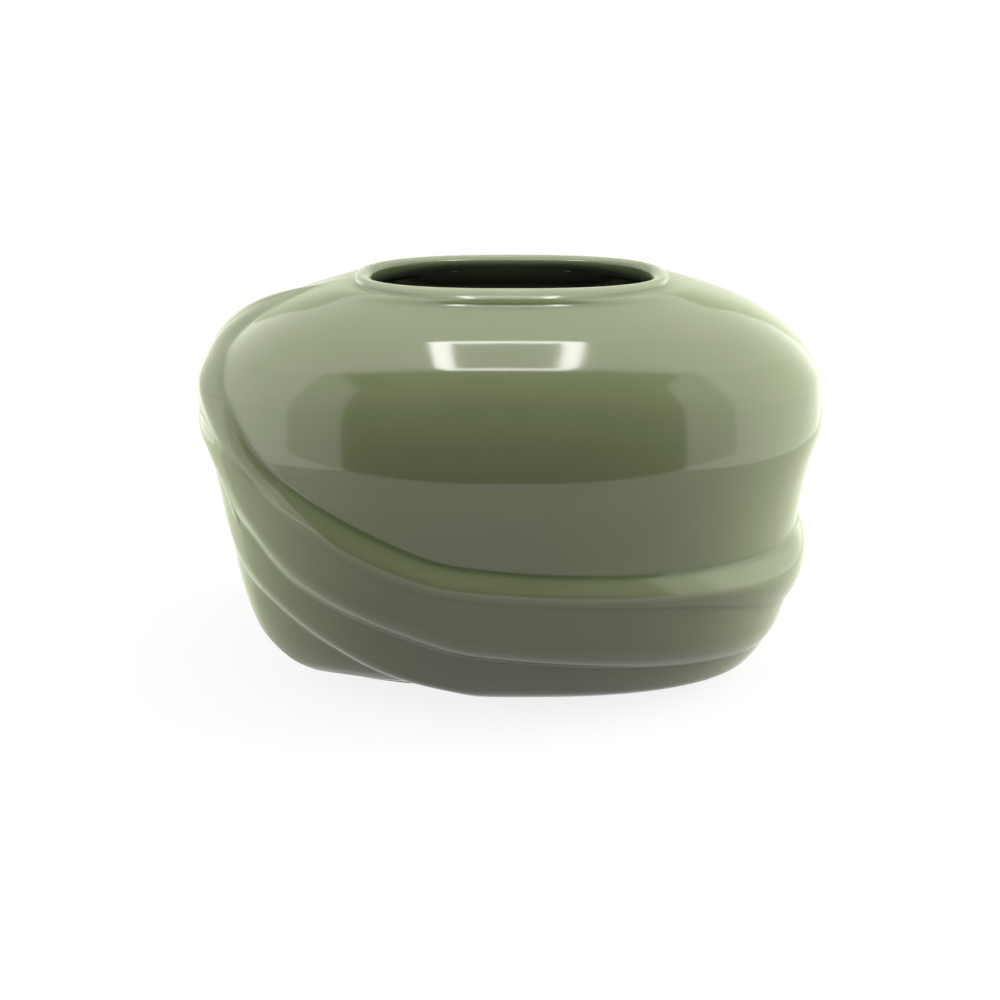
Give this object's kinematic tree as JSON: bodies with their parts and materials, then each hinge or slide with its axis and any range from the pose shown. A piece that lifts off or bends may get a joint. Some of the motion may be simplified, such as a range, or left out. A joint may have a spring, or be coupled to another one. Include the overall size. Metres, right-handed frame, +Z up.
{
  "type": "pillow vase",
  "caption": "Low, wide ceramic pillow vase with a small oval mouth, a rounded collar, cloth-like folds wrapped round the lower body and a dry foot ring.",
  "frame": {"origin": "middle of the foot, on the surface that the vase stands on", "axes": "+X along the long axis to the right end seen from the front, +Y to the back, +Z up"},
  "size_m": [0.272, 0.1608, 0.18],
  "materials": {
    "fired_clay": "matte",
    "sage_glaze": "gloss"
  },
  "bodies": {
    "root": {"clay_body": "fired_clay", "outside_glaze": "sage_glaze", "inside_glaze": "sage_glaze", "underside_glaze": "sage_glaze"}
  },
  "joints": []
}
